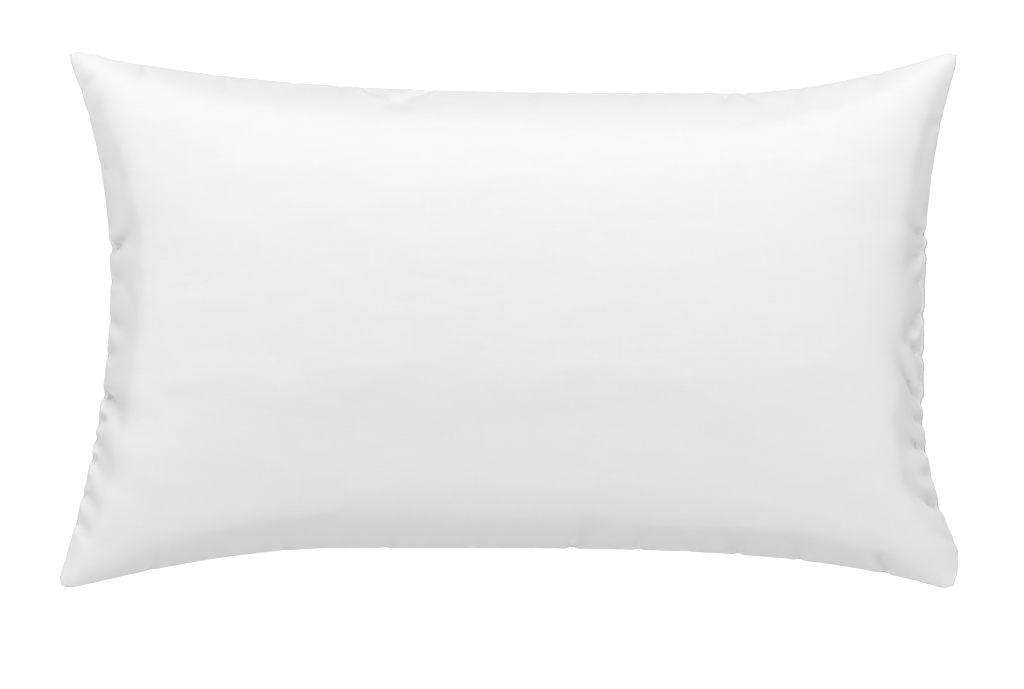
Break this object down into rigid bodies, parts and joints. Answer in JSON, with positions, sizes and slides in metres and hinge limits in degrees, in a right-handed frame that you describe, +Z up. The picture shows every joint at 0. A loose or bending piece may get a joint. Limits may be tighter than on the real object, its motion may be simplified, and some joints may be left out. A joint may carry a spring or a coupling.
{
  "type": "bed pillow",
  "caption": "Plump rectangular bed pillow: a plain white sewn cotton case with drawn-out corner ears, closed along one short side, over a soft fibre filling.",
  "frame": {"origin": "on the surface that the pillow lies on, under the middle of the pillow", "axes": "+X along the pillow towards the short side with the closed filling opening, +Y across it, +Z up out of the top panel"},
  "size_m": [0.75, 0.448, 0.1996],
  "materials": {
    "ticking": "satin",
    "thread": "satin",
    "batting": "matte",
    "loose_fibre": "matte"
  },
  "bodies": {
    "root": {"top_panel": "ticking", "bottom_panel": "ticking", "seam_needle_thread": "thread", "seam_bobbin_thread": "thread", "overlock_needle_thread": "thread", "overlock_upper_thread": "thread", "overlock_lower_thread": "thread", "closing_needle_thread": "thread", "closing_bobbin_thread": "thread", "upper_batting": "batting", "lower_batting": "batting", "fibre_core": "loose_fibre"}
  },
  "joints": []
}
